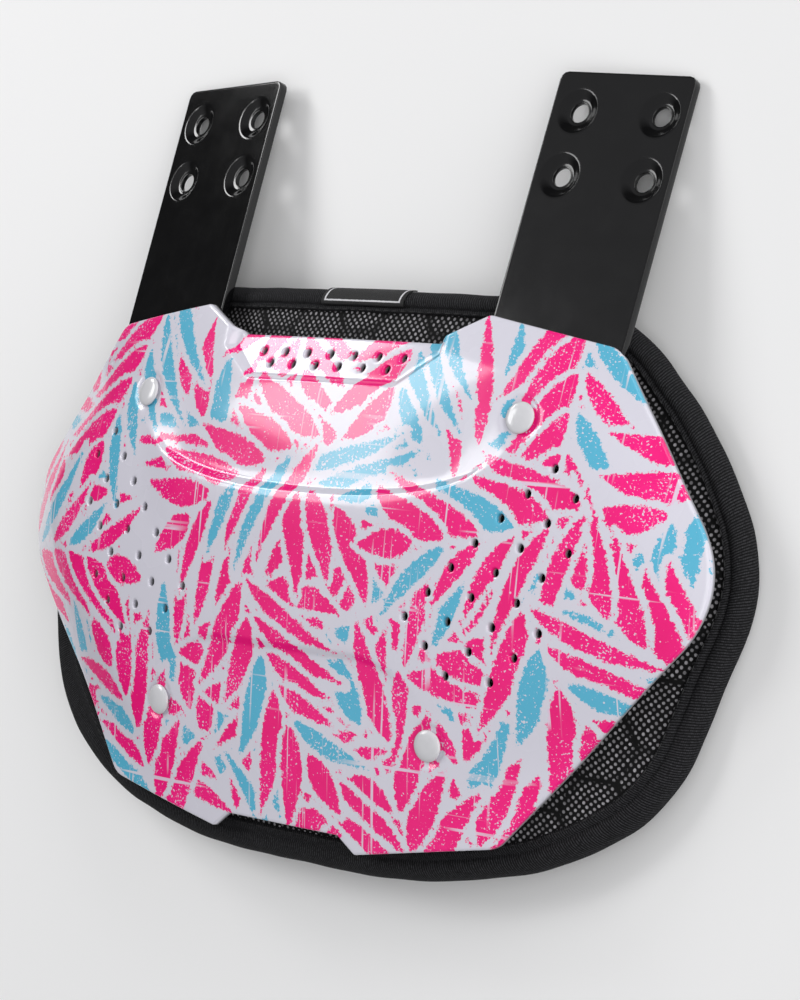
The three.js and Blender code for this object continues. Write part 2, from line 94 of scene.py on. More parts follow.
class Flow:                                   # a socket that sums can be written with
    def __init__(self, tree, socket=None):
        self.tree, self.socket = tree, socket

    def node(self, kind, settings=None, sockets=None, out=0):
        made = self.tree.nodes.new("ShaderNode" + kind)
        for key, value in (settings or {}).items():
            setattr(made, key, value)
        for key, value in (sockets or {}).items():
            if isinstance(value, Flow):
                self.tree.links.new(value.socket, made.inputs[key])
            else:
                made.inputs[key].default_value = value
        return Flow(self.tree, made.outputs[out] if made.outputs else None)

    def calc(self, operation, *values):
        return self.node("Math", {"operation": operation}, dict(enumerate(values)))

    def __add__(self, other):
        return self.calc("ADD", self, other)

    def __sub__(self, other):
        return self.calc("SUBTRACT", self, other)

    def __rsub__(self, other):
        return self.calc("SUBTRACT", other, self)

    def __mul__(self, other):
        return self.calc("MULTIPLY", self, other)

    def __truediv__(self, other):
        return self.calc("DIVIDE", self, other)

    def __rtruediv__(self, other):
        return self.calc("DIVIDE", other, self)

    __radd__, __rmul__ = __add__, __mul__

    def above(self, level, soft):             # 0 to 1 over a soft step at that level
        return self.node("Clamp", {}, {"Value": (self - level) / soft + 0.5})

    def tint(self, low, high):                # from one colour to another
        return self.node("Mix", {"data_type": "RGBA"}, {0: self, 6: low, 7: high}, 2)

    def noise(self, size, detail=2, rough=0.5):     # size in millimetres
        return self.node("TexNoise", {}, {"Vector": self, "Scale": 1000 / size, "Detail": detail, "Roughness": rough})

    def bump(self, strength, depth):          # depth in millimetres
        return self.node("Bump", {}, {"Strength": strength, "Distance": depth / 1000, "Height": self}, "Normal")

    def place(self, turn=(0, 0, 0), scale=(1, 1, 1)):
        return self.node("Mapping", {}, {"Vector": self, "Rotation": turn, "Scale": scale})

    def kept(self, name):                     # a value kept on the piece's vertices
        return self.node("Attribute", {"attribute_name": name}, {}, "Fac")


def screen(red, green, blue):                 # a colour as a screen shows it
    linear = [(c / 255 / 12.92 if c < 11 else ((c / 255 + 0.055) / 1.055) ** 2.4) for c in (red, green, blue)]
    return (*linear, 1)


scene.world = bpy.data.worlds.new("studio")
scene.world.use_nodes = True
scene.world.node_tree.nodes.clear()
sky = Flow(scene.world.node_tree)
rise = sky.node("SeparateXYZ", {}, {0: sky.node("TexCoord", {}, {}, "Generated")}, "Z")
glow = rise.above(*studio["skyStep"]).tint(studio["horizon"], studio["zenith"])
sky.node("OutputWorld", {}, {"Surface": sky.node("Background", {}, {"Color": glow})})


def finish(name, shade):
    material = bpy.data.materials.new(name)
    material.use_nodes = True
    material.node_tree.nodes.clear()
    flow = Flow(material.node_tree)
    surface = flow.node("BsdfPrincipled", {}, shade(flow))
    flow.node("OutputMaterial", {}, {"Surface": surface})
    return material


# flat outlines as complex numbers, x + iy

def smooth(value, low, high):
    t = np.clip((value - low) / (high - low), 0, 1)
    return t * t * (3 - 2 * t)


def bothHalves(corners):                      # the right half from top to bottom, and its mirror image
    return [(-x, y, r) for x, y, r in corners] + corners[::-1]


def filled(line, step, closed=True):          # no neighbours further apart than the step
    ends = line[1:] + line[:1] if closed else line[1:]
    spots = []
    for a, b in zip(line, ends):
        count = max(1, math.ceil(abs(b - a) / step))
        spots += [a + (b - a) * k / count for k in range(count)]
    return spots if closed else spots + line[-1:]


def rounded(corners, step):                   # a polygon whose corners are arcs
    spots = [complex(x, y) for x, y, r in corners]
    loop = []
    for i, here in enumerate(spots):
        radius = corners[i][2]
        back, ahead = spots[i - 1] - here, spots[(i + 1) % len(spots)] - here
        back, ahead = back / abs(back), ahead / abs(ahead)
        half = abs(cmath.phase(ahead / back)) / 2
        centre = here + (back + ahead) / abs(back + ahead) * radius / math.sin(half)
        start = here + back * radius / math.tan(half) - centre
        turn = cmath.phase((here + ahead * radius / math.tan(half) - centre) / start)
        count = max(3, math.ceil(abs(turn) * radius / step))
        loop += [centre + start * cmath.exp(1j * turn * k / count) for k in range(count + 1)]
    return filled(loop, step)


def circle(centre, radius, count):
    return [centre + cmath.rect(radius, 2 * math.pi * k / count) for k in range(count)]


def grown(loop, by):                          # the loop moved outwards
    area = sum((a.conjugate() * b).imag for a, b in zip(loop, loop[1:] + loop[:1]))
    moved = []
    for i, here in enumerate(loop):
        along = loop[(i + 1) % len(loop)] - loop[i - 1]
        moved.append(here + by * math.copysign(1, area) * -1j * along / abs(along))
    return moved


def treeOf(spots):
    tree = KDTree(len(spots))
    for i, spot in enumerate(spots):
        tree.insert((spot.real, spot.imag, 0), i)
    tree.balance()
    return tree


# plates: a flat sheet with holes and rolled edges, bent afterwards

def flatSheet(outline, holes, lines, step):
    bm = bmesh.new()
    loops = [(outline, True)] + [(hole, True) for hole in holes] + lines
    spots, edges = [], []
    for line, closed in loops:
        first, last = len(spots), len(spots) + len(line) - 1
        edges += [(k, k + 1) for k in range(first, last)] + ([(last, first)] if closed else [])
        spots += line
    tree = treeOf(spots)
    wide = max(abs(p.real) for p in outline) // step * step
    tall = max(abs(p.imag) for p in outline) // step * step
    stretch = Matrix.Diagonal((wide, tall, 1, 1))
    bmesh.ops.create_grid(bm, x_segments=int(2 * wide / step), y_segments=int(2 * tall / step), size=1, matrix=stretch)
    clear = 0.7 * step                        # grid spots nearer to a line are left out
    spots += [complex(v.co.x, v.co.y) for v in bm.verts if tree.find(v.co)[2] > clear]
    bm.clear()
    flat = delaunay_2d_cdt([Vector((p.real, p.imag)) for p in spots], edges, [], 1, 1e-4)
    made = [bm.verts.new((x, y, 0)) for x, y in flat[0]]
    for face in flat[2]:
        bm.faces.new([made[i] for i in face])
    centres = [(sum(hole) / len(hole), abs(hole[0] - sum(hole) / len(hole))) for hole in holes]
    inHole = []
    for face in bm.faces:
        middle = face.calc_center_median()
        if any(abs(complex(middle.x, middle.y) - c) < r for c, r in centres):
            inHole.append(face)
    bmesh.ops.delete(bm, geom=inHole, context="FACES")
    bmesh.ops.delete(bm, geom=[v for v in bm.verts if not v.link_faces], context="VERTS")
    return bm


def rollEdges(bm, edge, thickness):
    front = bm.verts.layers.float.new("front")
    sheet = bm.faces[:]
    border = [e for e in bm.edges if e.is_boundary]
    away = {}
    for e in border:                          # flat direction off the sheet at each border vertex
        a, b = e.verts
        side = Vector((b.co.y - a.co.y, a.co.x - b.co.x, 0)).normalized()
        if side.dot(e.link_faces[0].calc_center_median() - a.co) > 0:
            side.negate()
        for v in e.verts:
            away[v] = away.get(v, Vector()) + side
    root = {v: (v.co.copy(), direction.normalized()) for v, direction in away.items()}
    arc = [math.radians(a) for a in (30, 60, 90)]
    steps = [(edge * math.sin(a), edge * (1 - math.cos(a))) for a in arc]
    steps += [(out, thickness - drop) for out, drop in steps[::-1]] + [(0, thickness)]
    for out, drop in steps:
        geom = bmesh.ops.extrude_edge_only(bm, edges=border)["geom"]
        border = [g for g in geom if isinstance(g, bmesh.types.BMEdge) and g.is_boundary]
        for v in [g for g in geom if isinstance(g, bmesh.types.BMVert)]:
            source = next(e.other_vert(v) for e in v.link_edges if not e.is_boundary)
            root[v] = root[source]
            v.co = root[v][0] + root[v][1] * out - Vector((0, 0, drop))
    back = bmesh.ops.duplicate(bm, geom=sheet)["geom"]
    for v in [g for g in back if isinstance(g, bmesh.types.BMVert)]:
        v.co.z = -thickness
    bmesh.ops.reverse_faces(bm, faces=[g for g in back if isinstance(g, bmesh.types.BMFace)])
    bmesh.ops.remove_doubles(bm, verts=bm.verts, dist=1e-3)
    bmesh.ops.recalc_face_normals(bm, faces=bm.faces)
    for v in bm.verts:                        # the front face with its rounded edge
        v[front] = 1 if v.co.z > -1.01 * edge else 0


def shaped(bm, shape):                        # shape takes arrays of x, y and height and gives the new ones
    flat = np.array([v.co for v in bm.verts])
    for v, spot in zip(bm.verts, np.transpose(shape(*flat.T))):
        v.co = spot


def keep(bm, name, values):
    layer = bm.verts.layers.float.new(name)
    for v, value in zip(bm.verts, values):
        v[layer] = value


def newPiece(bm, name, material, slot, *nodes):
    bmesh.ops.transform(bm, matrix=toFrame, verts=bm.verts)
    for face in bm.faces:
        face.smooth = True
    mesh = bpy.data.meshes.new(name)
    bm.to_mesh(mesh)
    bm.free()
    mesh.materials.append(material)
    piece = bpy.data.objects.new(name, mesh)
    scene.collection.objects.link(piece)
    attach(piece, "root")
    if nodes:
        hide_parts(*nodes)
    print(name, "has", len(mesh.polygons), "faces")
    return piece


# shell

shell = {
    "thickness": 2.8, "edge": 0.6, "step": 1.3, "guard": 0.6,
    "crownZ": 7.25, "crownY": 10, "bendX": 7.03e-4, "bendY": 1.65e-3, "straightY": -35,
    # right half of the outline: x, y, radius
    "corners": [(43.7, 73.6, 2), (63, 83.4, 3), (111, 75.4, 8), (159.7, 5.5, 33), (86.8, -80, 9),
                (32.4, -90.2, 1.5), (25.1, -85, 1.5)],
    # from, to, slope past the line, softness, whether it fades towards top and bottom
    "creases": [(96, 65.7, 132.3, 15.9, 0.34, 9, 1), (140, 14, 89, -43.5, 0.24, 4, 1),
                (52.5, 69.7, 87.2, 64.3, 0.06, 2, 0)],
    "creaseFade": (44, 92),
    "ventRadius": 1.4, "ventSteps": 16, "ventPitch": 16.6, "topVentPitch": 10.5,
    # rows of side vents: y, first x, count
    "ventRows": [(37.2, 99.2, 1), (28.8, 91.2, 2), (20.6, 83, 2), (12.2, 74.8, 3), (4, 66.8, 3), (-4.4, 58.8, 3),
                 (-12.7, 50.6, 4), (-21, 59.1, 3), (-29.4, 67.4, 2)],
    "topVentRows": [(68, 7), (64, 6)],
    "leastWall": 1, "bladeMargin": 1, "bladeReach": 32, "backFrom": 1.5,
}
# guards are lines of the mesh along the foot of a wall, mirrored at its top
smile = {"y": 22.2, "rise2": 1e-3, "rise4": 2e-7, "kinkX": 69, "kinkSlope": 0.72, "endX": 84, "fadeX": 58,
         "wall": 2.3, "round": 0.7, "proud": 1.2, "sunk": 1.4, "fadeBelow": 30, "fadeAbove": 32,
         "guards": (-1.2, -0.6, 0, 0.6), "lineX": 80}
recess = {"y": 58.4, "endX": 33, "slantX": 13.9, "slantY": 10.1, "limitX": 48, "wall": 1.8, "round": 0.4, "depth": 1.5,
          "deepen": 0.17, "guards": (-0.8, -0.4, 0, 0.5), "overrun": 3}
ledge = {"y": -26.6, "flatX": 30, "drop": 0.014, "wall": 2.4, "round": 0.5, "depth": 1, "endX": 62, "fadeBelow": 34,
         "guards": (-0.6, 0, 0.6), "lineX": 46}
rivet = {"spots": {"top": (83.9, 51.8), "bottom": (61.4, -51.8)}, "radius": 5.1, "height": 1.5, "dome": 2.5,
         "shank": 2.5, "shankSteps": 20, "collar": 5, "collarHeight": 1.2, "brim": 0.25, "undercut": 0.2, "bevel": 0.3,
         "seat": 0.6, "seatRadius": (6.2, 7.0), "seatSteps": 32, "air": 0.3, "turnSteps": 48,
         "bladeGap": 0.9, "shellGap": 0.6, "padGap": 0.9,
         "whites": (screen(198, 198, 202), screen(212, 212, 215)), "cloud": 4, "peel": 0.8}


def ramp(value, wall, soft):                  # 0 to 1 up a straight wall with rounded edges
    return (np.hypot(value, soft) - np.hypot(value - wall, soft) + wall) / (2 * wall)


def smileLine(x):
    inner = np.minimum(np.abs(x), smile["kinkX"])
    outer = np.minimum(np.abs(x), smile["endX"]) - inner
    return smile["y"] + smile["rise2"] * inner ** 2 + smile["rise4"] * inner ** 4 + smile["kinkSlope"] * outer


def smileRelief(x, y):
    over = y - smileLine(x)
    strength = 1 - smooth(np.abs(x), smile["fadeX"], smile["endX"])
    proud = smile["proud"] * (1 - smooth(-over, 0, smile["fadeBelow"]))
    sunk = -smile["sunk"] * (1 - smooth(over - smile["wall"], 0, smile["fadeAbove"]))
    climb = ramp(over, smile["wall"], smile["round"])
    return strength * (proud * (1 - climb) + sunk * climb)


def recessDepth(x, y):
    slant = math.hypot(recess["slantX"], recess["slantY"])
    fromEnd = (recess["slantX"] * (y - recess["y"]) - recess["slantY"] * (np.abs(x) - recess["endX"])) / slant
    inside = np.minimum(np.minimum(y - recess["y"], fromEnd), recess["limitX"] - np.abs(x))
    deep = recess["depth"] + recess["deepen"] * np.maximum(0, y - recess["y"])
    return ramp(inside, recess["wall"], recess["round"]) * deep


def ledgeLine(x):
    return ledge["y"] - ledge["drop"] * np.maximum(0, np.abs(x) - ledge["flatX"]) ** 2


def ledgeDepth(x, y):
    under = ledgeLine(x) - y
    strength = 1 - smooth(np.abs(x), ledge["flatX"], ledge["endX"])
    fade = 1 - smooth(under, ledge["wall"], ledge["fadeBelow"])
    return ledge["depth"] * strength * fade * ramp(under, ledge["wall"], ledge["round"])


def shellFace(x, y):                          # height of the outer face
    fromCrown = np.maximum(y, shell["straightY"]) - shell["crownY"]
    arch = shell["bendY"] * (fromCrown ** 2 + 2 * fromCrown * np.minimum(0, y - shell["straightY"]))
    height = shell["crownZ"] - shell["bendX"] * x ** 2 - arch
    fade = 1 - smooth(np.abs(y), *shell["creaseFade"])
    for ax, ay, bx, by, slope, soft, fades in shell["creases"]:
        past = ((bx - ax) * (y - ay) - (by - ay) * (np.abs(x) - ax)) / math.hypot(bx - ax, by - ay)
        height = height - (fade if fades else 1) * slope * (np.hypot(past, soft) + past) / 2
    return height + smileRelief(x, y) - recessDepth(x, y) - ledgeDepth(x, y)


def seatDepth(x, y):                          # shallow round seats under the rivet heads
    depth = 0
    for rivetX, rivetY in rivet["spots"].values():
        depth = depth + rivet["seat"] * (1 - smooth(np.hypot(np.abs(x) - rivetX, y - rivetY), *rivet["seatRadius"]))
    return depth


# straps

strap = {
    "spot": (87.6, 139.7, -23.75), "leanX": -0.1, "leanY": -0.2114, "splay": 0.026, "roll": -0.042,
    "width": 50.8, "thickness": 3.2, "above": 24.1, "taperFrom": -70, "tongue": 14, "tongueRadius": 13,
    "corner": 2.8, "edge": 0.4, "guard": 0.5, "step": 3.2,
    "boltAcross": 15.4, "boltAlong": 10.8, "boltRadius": 3.25, "boltSteps": 28,
    "dish": (4.5, 7.4), "dishDepth": 1.5, "dishLines": (4.45, 4.55, 5.6, 6.6, 7.36, 7.44, 8.3), "dishSteps": 36,
    "blacks": (screen(5, 5, 6), screen(11, 11, 12)), "scuff": 9, "grain": 0.5,
}


def strapFrame():                             # the right blade's axes, at the middle of its bolt holes
    leanX, leanY = strap["leanX"], strap["leanY"]
    across = Vector((1, strap["roll"], leanX + strap["roll"] * leanY)).normalized()
    along = Vector((strap["splay"], 1, leanY + strap["splay"] * leanX)).normalized()
    out = across.cross(along).normalized()
    return Matrix.Translation(strap["spot"]) @ Matrix((across, out.cross(across), out)).transposed().to_4x4()


def strapFace(x, y):                          # height of the blades' front face
    return strap["spot"][2] + strap["leanX"] * (np.abs(x) - strap["spot"][0]) + strap["leanY"] * (y - strap["spot"][1])


def onStrap(x, y):
    spot = strapFrame().inverted() @ Vector((x, y, float(strapFace(x, y))))
    return complex(spot.x, spot.y)


def strapOutline():
    half, tongue, radius = strap["width"] / 2, strap["tongue"], strap["tongueRadius"]
    end = onStrap(*rivet["spots"]["top"])
    corners = [(half, strap["above"], strap["corner"]), (-half, strap["above"], strap["corner"]),
               (-half, strap["taperFrom"], strap["corner"]), (end.real - tongue, end.imag - tongue, radius),
               (end.real + tongue, end.imag - tongue, radius), (half, strap["taperFrom"], strap["corner"])]
    return rounded(corners, strap["step"] / 2)


def strapSheet():
    edge = strap["edge"]
    outline = strapOutline()
    bolts = [complex(i * strap["boltAcross"], k * strap["boltAlong"]) for i in (-1, 1) for k in (-1, 1)]
    holes = [circle(b, strap["boltRadius"] + edge, strap["boltSteps"]) for b in bolts]
    holes.append(circle(onStrap(*rivet["spots"]["top"]), rivet["shank"] + rivet["air"] + edge, rivet["shankSteps"]))
    lines = [(circle(b, r, strap["dishSteps"]), True) for b in bolts for r in strap["dishLines"]]
    lines.append((grown(outline, -edge - strap["guard"]), True))
    bm = flatSheet(grown(outline, -edge), holes, lines, strap["step"])
    rollEdges(bm, edge, strap["thickness"])

    def dished(x, y, height):
        away = np.hypot(np.abs(x) - strap["boltAcross"], np.abs(y) - strap["boltAlong"])
        inner, outer = strap["dish"]
        dip = strap["dishDepth"] * np.clip((outer - away) / (outer - inner), 0, 1)
        return x, y, height - dip * (1 + height / strap["thickness"])

    shaped(bm, dished)
    return bm


def glossBlack(flow):
    spot = flow.node("TexCoord", {}, {}, "Object")
    scuff = spot.noise(strap["scuff"], 4, 0.65)
    grain = spot.noise(strap["grain"], 2)
    return {"Base Color": scuff.tint(*strap["blacks"]), "Roughness": scuff * 0.1 + 0.05,
            "Normal": grain.bump(0.03, 0.05), "Specular IOR Level": 0.5}


blackPlastic = finish("glossBlackPlastic", glossBlack)
for side, flip in (("left", -1), ("right", 1)):
    bm = strapSheet()
    bmesh.ops.transform(bm, matrix=Matrix.Diagonal((flip, 1, 1, 1)) @ strapFrame(), verts=bm.verts)
    if flip < 0:
        bmesh.ops.reverse_faces(bm, faces=bm.faces)
    newPiece(bm, "blade_" + side, blackPlastic, "strap", "strap_" + side)


# printed leaves on the shell

foliage = {
    # sprigs from the lowest layer up: x, y, heading, turn along the stem, every nth leaf blue
    "sprigs": [
        (64, 30, 60, -18, 3), (-124, 22, 66, -16, 0), (-34, 26, 132, 20, 3), (-22, -84, 122, 18, 3),
        (84, -92, 112, -18, 5), (10, -22, 12, 20, 3), (-122, -84, 78, -22, 2), (-58, -98, 108, 20, 4),
        (2, -100, 82, -20, 2), (58, -98, 104, 18, 0), (-150, 52, -58, 24, 4), (-84, 92, -98, -20, 2),
        (-22, 98, -80, 18, 0), (40, 96, -106, 22, 2), (98, 92, -76, -20, 4), (156, 44, -140, 20, 2),
        (-156, -8, 14, -24, 4), (-52, -34, 44, -24, 0), (-4, 30, -30, 24, 2), (52, -30, 36, -22, 4),
        (156, -26, 160, -24, 2), (6, 40, 196, 20, 4), (112, 26, 208, -22, 5), (46, -54, 158, 24, 3),
        (96, -6, -64, 20, 3), (-20, -8, -72, 22, 5),
    ],
    "leaves": 5, "pitch": 12.5, "fan": 47, "leafLength": 48, "leafHalf": 4.4, "bow": 0.05, "stalk": 1.2, "halo": 2.2,
    # share of the length and its change from leaf to leaf and to the tip, then the same of the width and the fan
    "longShare": (0.88, 0.16, 0.25), "wideShare": (0.9, 0.2), "fanLess": 0.3, "leafWaves": (2.4, 3.1),
    "leafRound": 0.75, "unprinted": -9.0,
    "white": screen(210, 208, 219), "pink": screen(245, 20, 130), "deepPink": screen(236, 10, 118),
    # inside: painted shade, a mid grey standing in for the shade on the vent walls, the rolled-under edges and the
    # back
    "blue": screen(86, 176, 206), "fleck": screen(222, 196, 216), "inside": screen(150, 150, 155),
}
# wear of the print, sizes in millimetres
wear = {
    "ragged": 1.5, "raggedBy": 4.2, "edge": (0.1, 0.3), "patch": 16, "speck": 0.8, "peel": 1.7,
    "fleckPitch": 2.9, "fleckSize": 0.34, "fleckLess": 0.21,
    # scratches down and along: width, turn, level, size of the patches with scratches
    "down": (1.1, 0.03, 0.72, 11), "along": (1.3, 0.05, 0.74, 13), "drawn": 0.02, "patchDrawn": 0.3,
    "wornFrom": 0.92, "wornPatch": 0.46,
}


def leafDepth(x, y, base, heading, length, half, bow):     # millimetres inside one leaf's edge
    u = (x - base.real) * math.cos(heading) + (y - base.imag) * math.sin(heading)
    v = (y - base.imag) * math.cos(heading) - (x - base.real) * math.sin(heading)
    t = np.clip(u / length, 0, 1)
    v = v - bow * length * 4 * t * (1 - t)
    edge = half * np.sin(math.pi * t ** foliage["leafRound"])
    return edge - np.abs(v) - np.maximum(0, np.maximum(-u, u - length))


def leafPrint(x, y):                          # depth inside pink and inside blue, upper leaves cutting lower ones
    tones = [np.full(x.shape, foliage["unprinted"]) for tone in ("pink", "blue")]
    long, longWave, longLess = foliage["longShare"]
    wide, wideWave = foliage["wideShare"]
    longBy, wideBy = foliage["leafWaves"]
    for startX, startY, heading, turn, every in foliage["sprigs"]:
        spot, way = complex(startX, startY), math.radians(heading)
        for i in range(foliage["leaves"] + 1):
            share = i / foliage["leaves"]
            for side in ((1, -1) if share < 1 else (0,)):
                index = 2 * i + (side > 0)
                length = foliage["leafLength"] * (long + longWave * math.sin(longBy * index) - longLess * share)
                half = foliage["leafHalf"] * (wide + wideWave * math.cos(wideBy * index))
                fan = math.radians(foliage["fan"]) * (1 - foliage["fanLess"] * share) * side
                base = spot + foliage["stalk"] * side * 1j * cmath.rect(1, way)
                depth = leafDepth(x, y, base, way + fan, length, half, -foliage["bow"] * side)
                tones = [np.minimum(tone, -depth - foliage["halo"]) for tone in tones]
                tone = int(every > 0 and index % every == every - 1)
                tones[tone] = np.maximum(tones[tone], depth)
            way += math.radians(turn) / foliage["leaves"]
            spot += cmath.rect(foliage["pitch"], way)
    return tones


def scratches(spot, width, turn, level, patch, stretch, patchStretch):
    lines = spot.place((0, 0, turn), stretch).noise(width, 0).above(level, 0.06)
    return lines * spot.place((0, 0, 0), patchStretch).noise(patch).above(0.56, 0.1)


def printedPlastic(flow):
    spot = flow.node("TexCoord", {}, {}, "Object")
    ragged = (spot.noise(wear["ragged"], 3, 0.75) - 0.5) * wear["raggedBy"]
    patchy = spot.noise(wear["patch"], 2)
    speck = spot.noise(wear["speck"], 1)
    cells = {"Vector": spot, "Scale": 1000 / wear["fleckPitch"]}
    dots = spot.node("TexVoronoi", {"voronoi_dimensions": "2D"}, cells, "Distance")
    size = spot.node("TexVoronoi", {"voronoi_dimensions": "2D"}, cells, "Color")
    fleck = 1 - dots.above(size * wear["fleckSize"] - wear["fleckLess"], 0.05)
    drawn, patchDrawn = wear["drawn"], wear["patchDrawn"]
    down = scratches(spot, *wear["down"], (1, drawn, drawn), (1, patchDrawn, 1))
    along = scratches(spot, *wear["along"], (drawn, 1, drawn), (patchDrawn, 1, 1))
    scratch = flow.calc("MAXIMUM", down, along)
    worn = speck.above(wear["wornFrom"] - patchy * wear["wornPatch"], 0.06)
    bare = 1 - (1 - fleck) * (1 - scratch) * (1 - worn)
    pink = (spot.kept("pink") + ragged).above(*wear["edge"])
    blue = (spot.kept("blue") + ragged).above(*wear["edge"])
    pinkTone = patchy.above(0.5, 0.4).tint(foliage["deepPink"], foliage["pink"])
    colour = (blue * (1 - bare)).tint(foliage["white"], foliage["blue"])
    colour = pink.tint(colour, bare.tint(pinkTone, foliage["fleck"]))
    # the vent walls, the rolled-under edges and the back are painted the inside grey, a painted shade
    colour = spot.kept("front").above(0.5, 0.5).tint(foliage["inside"], colour)
    peel = spot.noise(wear["peel"], 2) + speck * 0.3
    return {"Base Color": colour, "Roughness": patchy * 0.06 + 0.24, "Normal": peel.bump(0.1, 0.05),
            "Specular IOR Level": 0.2, "Coat Weight": 0.8, "Coat Roughness": 0.09}


def guardLines(wall):                         # from the foot of a wall to its top
    return wall["guards"] + tuple(wall["wall"] - guard for guard in wall["guards"][::-1])


def shellLines():                             # creases that the mesh follows
    step, lines = shell["step"], []
    for lift in guardLines(smile):
        spread = np.arange(-smile["lineX"], smile["lineX"] + 0.1, step)
        lines.append(([complex(x, smileLine(x) + lift) for x in spread], False))
    for under in guardLines(ledge):
        spread = np.arange(-ledge["lineX"], ledge["lineX"] + 0.1, step)
        lines.append(([complex(x, ledgeLine(x) - under) for x in spread], False))
    slant = math.hypot(recess["slantX"], recess["slantY"])
    for inside in guardLines(recess):
        low = recess["y"] + inside
        cornerX = recess["endX"] + (recess["slantX"] * inside - slant * inside) / recess["slantY"]
        endX = recess["limitX"] - inside
        endY = low + (endX - cornerX) * recess["slantY"] / recess["slantX"]
        half = [complex(cornerX, low), complex(endX, endY), complex(endX, endY + recess["overrun"])]
        lines.append((filled([complex(-p.real, p.imag) for p in half[::-1]] + half, step, False), False))
    for x, y in rivet["spots"].values():
        for seat in rivet["seatRadius"]:
            lines += [(circle(complex(side * x, y), seat, rivet["seatSteps"]), True) for side in (-1, 1)]
    return lines


def ventSpots():
    side = [complex(x + shell["ventPitch"] * i, y) for y, x, count in shell["ventRows"] for i in range(count)]
    top = [complex((i - (count - 1) / 2) * shell["topVentPitch"], y)
           for y, count in shell["topVentRows"] for i in range(count)]
    return side + [complex(-p.real, p.imag) for p in side] + top


def shellSheet():
    edge, guard = shell["edge"], shell["guard"]
    outline = rounded(bothHalves(shell["corners"]), shell["step"])
    vents = [circle(spot, shell["ventRadius"] + edge, shell["ventSteps"]) for spot in ventSpots()]
    shanks = [circle(complex(side * x, y), rivet["shank"] + rivet["air"] + edge, rivet["shankSteps"])
              for x, y in rivet["spots"].values() for side in (-1, 1)]
    guards = [(grown(outline, -edge - guard), True)] + [(grown(vent, guard), True) for vent in vents]
    bm = flatSheet(grown(outline, -edge), vents + shanks, guards + shellLines(), shell["step"])
    rollEdges(bm, edge, shell["thickness"])

    halfBlade = strap["width"] / 2 + shell["bladeMargin"]
    bladeEnd = strap["taperFrom"] - shell["bladeReach"]

    def bent(x, y, height):                   # the back keeps clear of the blades
        face = shellFace(x, y) - seatDepth(x, y)
        under = face + height
        reach = [onStrap(abs(px), py) for px, py in zip(x, y)]
        overBlade = np.array([abs(p.real) < halfBlade and p.imag > bladeEnd for p in reach])
        clear = np.where(overBlade & (height < -shell["backFrom"]), strapFace(x, y) + rivet["air"], under)
        return x, y, np.maximum(under, np.minimum(clear, face - shell["leastWall"]))

    flat = np.array([v.co for v in bm.verts])
    pink, blue = leafPrint(flat[:, 0], flat[:, 1])
    shaped(bm, bent)
    keep(bm, "pink", pink)
    keep(bm, "blue", blue)
    return bm


newPiece(shellSheet(), "printedShell", finish("printedPlastic", printedPlastic), "shell", "shell")


# rivets, square to the shell

def rivetFrame(x, y):
    slopeX = float(shellFace(x + 1, y) - shellFace(x - 1, y)) / 2
    slopeY = float(shellFace(x, y + 1) - shellFace(x, y - 1)) / 2
    out = Vector((-slopeX, -slopeY, 1)).normalized()
    turn = Vector((0, 0, 1)).rotation_difference(out).to_matrix().to_4x4()
    return Matrix.Translation((x, y, float(shellFace(x, y)))) @ turn


def rivetProfile(neck, foot):                 # radius and height from the top of the head to the foot of the collar
    radius, shank, collar = rivet["radius"], rivet["shank"], rivet["collar"]
    brim, bevel = rivet["brim"], rivet["bevel"]
    low = rivet["air"] - rivet["seat"]
    power = 2 / rivet["dome"]
    dome = [(radius * math.cos(a) ** power, low + brim + (rivet["height"] - brim) * math.sin(a) ** power)
            for a in np.radians(np.linspace(90, 0, 12))]
    return [(0, dome[0][1])] + dome[1:] + [
        (radius - rivet["undercut"], low), (shank, low), (shank, -neck), (collar - bevel, -neck),
        (collar, -neck - bevel), (collar, bevel - foot), (collar - bevel, -foot), (0, -foot)]


def turnedRivet(profile):
    bm = bmesh.new()
    chain = [bm.verts.new((r, 0, z)) for r, z in profile]
    edges = [bm.edges.new(pair) for pair in zip(chain, chain[1:])]
    bmesh.ops.spin(bm, geom=chain + edges, cent=(0, 0, 0), axis=(0, 0, 1), angle=2 * math.pi,
                   steps=rivet["turnSteps"], use_merge=True)
    bmesh.ops.remove_doubles(bm, verts=bm.verts, dist=1e-3)
    bmesh.ops.recalc_face_normals(bm, faces=bm.faces)
    return bm


def glossWhite(flow):
    spot = flow.node("TexCoord", {}, {}, "Object")
    tone = spot.noise(rivet["cloud"], 3)
    return {"Base Color": tone.tint(*rivet["whites"]), "Roughness": tone * 0.1 + 0.12,
            "Normal": spot.noise(rivet["peel"], 2).bump(0.05, 0.05), "Coat Weight": 0.3, "Coat Roughness": 0.08}


rivetWhite = finish("glossWhitePlastic", glossWhite)


# pad: foam cells sewn between two mesh faces

pad = {
    "z": -12.25, "bendX": 7.9e-4, "levelY": 20, "bendTop": 1.25e-3, "bendBottom": 5e-4,
    "faceLift": 5.05, "crown": 6, "middleY": -3, "crownHalfX": 155, "crownHalfY": 93,
    # right half of the outline: x, y, radius
    "corners": [(101, 91.4, 65), (141.7, 49.7, 123), (160.3, 11.2, 51), (138.4, -60.5, 57), (102.8, -84.6, 110),
                (50, -97.2, 217)],
    "rimStep": 1.5, "step": 1.9, "inset": 4.5, "edge": 1, "wall": 5, "edgeLift": 2.3, "backLift": 1.2, "floorGap": 2,
    "cell": 22, "seam": 0.9, "dip": 2.4, "tucked": (6.5, 12.5), "heldRim": 9.5,
    "pressure": 32, "frames": 20, "mostPuff": 2.2, "mass": 0.15, "stiffness": 8, "quality": 6,
}
